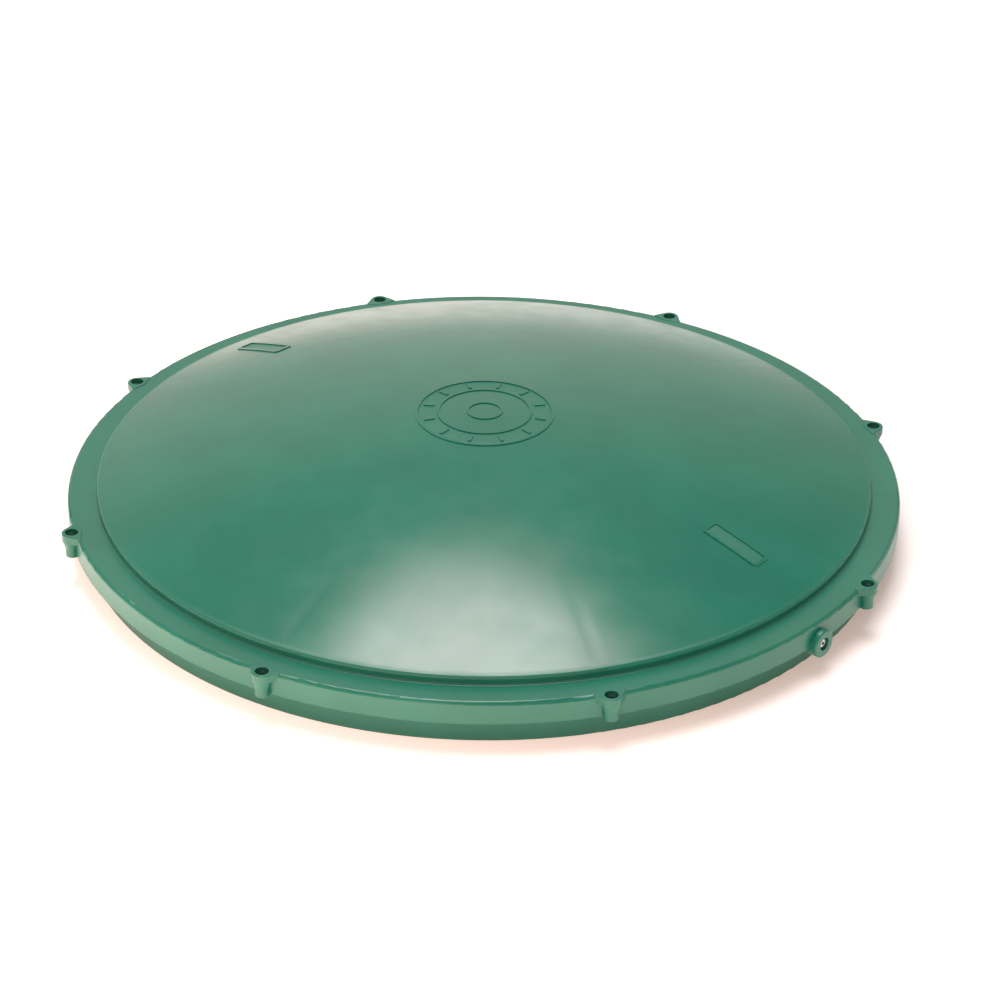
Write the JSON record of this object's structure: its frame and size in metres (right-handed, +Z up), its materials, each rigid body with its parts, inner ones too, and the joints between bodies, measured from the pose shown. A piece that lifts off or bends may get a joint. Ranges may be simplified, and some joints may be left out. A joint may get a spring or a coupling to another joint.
{
  "type": "domed access lid",
  "caption": "Round domed plastic access lid with a flat rim, recessed screw lugs, a side boss, an underside channel with a sealing gasket, and screws that back out.",
  "frame": {"origin": "on the lid's axis, level with the lower edge that it stands on", "axes": "+Z up along the lid's axis, out of the dome; +X through the first screw lug; the side boss is at -56.8 degrees from +X"},
  "size_m": [0.7064, 0.7064, 0.1067],
  "materials": {
    "shell_plastic": "smooth glossy moulded polyethylene, green",
    "seal_foam": "matt closed-cell foam",
    "screw_steel": "plain stainless steel",
    "washer_rubber": "matt black sealing washer"
  },
  "bodies": {
    "lid": {"lid_shell": "shell_plastic", "gasket": "seal_foam"},
    "vertical_washer_1": {"vertical_washer_1": "washer_rubber"},
    "vertical_screw_1": {"vertical_screw_1": "screw_steel"},
    "vertical_washer_2": {"vertical_washer_2": "washer_rubber"},
    "vertical_screw_2": {"vertical_screw_2": "screw_steel"},
    "vertical_washer_3": {"vertical_washer_3": "washer_rubber"},
    "vertical_screw_3": {"vertical_screw_3": "screw_steel"},
    "vertical_washer_4": {"vertical_washer_4": "washer_rubber"},
    "vertical_screw_4": {"vertical_screw_4": "screw_steel"},
    "vertical_washer_5": {"vertical_washer_5": "washer_rubber"},
    "vertical_screw_5": {"vertical_screw_5": "screw_steel"},
    "vertical_washer_6": {"vertical_washer_6": "washer_rubber"},
    "vertical_screw_6": {"vertical_screw_6": "screw_steel"},
    "vertical_washer_7": {"vertical_washer_7": "washer_rubber"},
    "vertical_screw_7": {"vertical_screw_7": "screw_steel"},
    "vertical_washer_8": {"vertical_washer_8": "washer_rubber"},
    "vertical_screw_8": {"vertical_screw_8": "screw_steel"},
    "side_washer": {"side_washer": "washer_rubber"},
    "side_screw": {"side_screw": "screw_steel"}
  },
  "joints": [
    {"name": "vertical_screw_1_travel", "type": "slide", "parent": "lid", "child": "vertical_washer_1", "axis": [0, 0, 1], "range_m": [0, 0.021]},
    {"name": "vertical_screw_1_turn", "type": "hinge", "parent": "vertical_washer_1", "child": "vertical_screw_1", "pos_m": [0.345, 0, 0.034], "axis": [0, 0, 1], "range_deg": [0, 3600]},
    {"name": "vertical_screw_2_travel", "type": "slide", "parent": "lid", "child": "vertical_washer_2", "axis": [0, 0, 1], "range_m": [0, 0.021]},
    {"name": "vertical_screw_2_turn", "type": "hinge", "parent": "vertical_washer_2", "child": "vertical_screw_2", "pos_m": [0.24395, 0.24395, 0.034], "axis": [0, 0, 1], "range_deg": [0, 3600]},
    {"name": "vertical_screw_3_travel", "type": "slide", "parent": "lid", "child": "vertical_washer_3", "axis": [0, 0, 1], "range_m": [0, 0.021]},
    {"name": "vertical_screw_3_turn", "type": "hinge", "parent": "vertical_washer_3", "child": "vertical_screw_3", "pos_m": [0, 0.345, 0.034], "axis": [0, 0, 1], "range_deg": [0, 3600]},
    {"name": "vertical_screw_4_travel", "type": "slide", "parent": "lid", "child": "vertical_washer_4", "axis": [0, 0, 1], "range_m": [0, 0.021]},
    {"name": "vertical_screw_4_turn", "type": "hinge", "parent": "vertical_washer_4", "child": "vertical_screw_4", "pos_m": [-0.24395, 0.24395, 0.034], "axis": [0, 0, 1], "range_deg": [0, 3600]},
    {"name": "vertical_screw_5_travel", "type": "slide", "parent": "lid", "child": "vertical_washer_5", "axis": [0, 0, 1], "range_m": [0, 0.021]},
    {"name": "vertical_screw_5_turn", "type": "hinge", "parent": "vertical_washer_5", "child": "vertical_screw_5", "pos_m": [-0.345, 0, 0.034], "axis": [0, 0, 1], "range_deg": [0, 3600]},
    {"name": "vertical_screw_6_travel", "type": "slide", "parent": "lid", "child": "vertical_washer_6", "axis": [0, 0, 1], "range_m": [0, 0.021]},
    {"name": "vertical_screw_6_turn", "type": "hinge", "parent": "vertical_washer_6", "child": "vertical_screw_6", "pos_m": [-0.24395, -0.24395, 0.034], "axis": [0, 0, 1], "range_deg": [0, 3600]},
    {"name": "vertical_screw_7_travel", "type": "slide", "parent": "lid", "child": "vertical_washer_7", "axis": [0, 0, 1], "range_m": [0, 0.021]},
    {"name": "vertical_screw_7_turn", "type": "hinge", "parent": "vertical_washer_7", "child": "vertical_screw_7", "pos_m": [0, -0.345, 0.034], "axis": [0, 0, 1], "range_deg": [0, 3600]},
    {"name": "vertical_screw_8_travel", "type": "slide", "parent": "lid", "child": "vertical_washer_8", "axis": [0, 0, 1], "range_m": [0, 0.021]},
    {"name": "vertical_screw_8_turn", "type": "hinge", "parent": "vertical_washer_8", "child": "vertical_screw_8", "pos_m": [0.24395, -0.24395, 0.034], "axis": [0, 0, 1], "range_deg": [0, 3600]},
    {"name": "side_screw_travel", "type": "slide", "parent": "lid", "child": "side_washer", "axis": [0.5476, -0.8368, 0], "range_m": [0, 0.0155]},
    {"name": "side_screw_turn", "type": "hinge", "parent": "side_washer", "child": "side_screw", "pos_m": [0.18754, -0.28659, 0.0246], "axis": [0.5476, -0.8368, 0], "range_deg": [0, 2700]}
  ],
  "couplings": [
    {"joint": "vertical_screw_1_turn", "follows": "vertical_screw_1_travel", "rad_per_m": 2968.4},
    {"joint": "vertical_screw_2_turn", "follows": "vertical_screw_2_travel", "rad_per_m": 2968.4},
    {"joint": "vertical_screw_3_turn", "follows": "vertical_screw_3_travel", "rad_per_m": 2968.4},
    {"joint": "vertical_screw_4_turn", "follows": "vertical_screw_4_travel", "rad_per_m": 2968.4},
    {"joint": "vertical_screw_5_turn", "follows": "vertical_screw_5_travel", "rad_per_m": 2968.4},
    {"joint": "vertical_screw_6_turn", "follows": "vertical_screw_6_travel", "rad_per_m": 2968.4},
    {"joint": "vertical_screw_7_turn", "follows": "vertical_screw_7_travel", "rad_per_m": 2968.4},
    {"joint": "vertical_screw_8_turn", "follows": "vertical_screw_8_travel", "rad_per_m": 2968.4},
    {"joint": "side_screw_turn", "follows": "side_screw_travel", "rad_per_m": 2968.4}
  ]
}
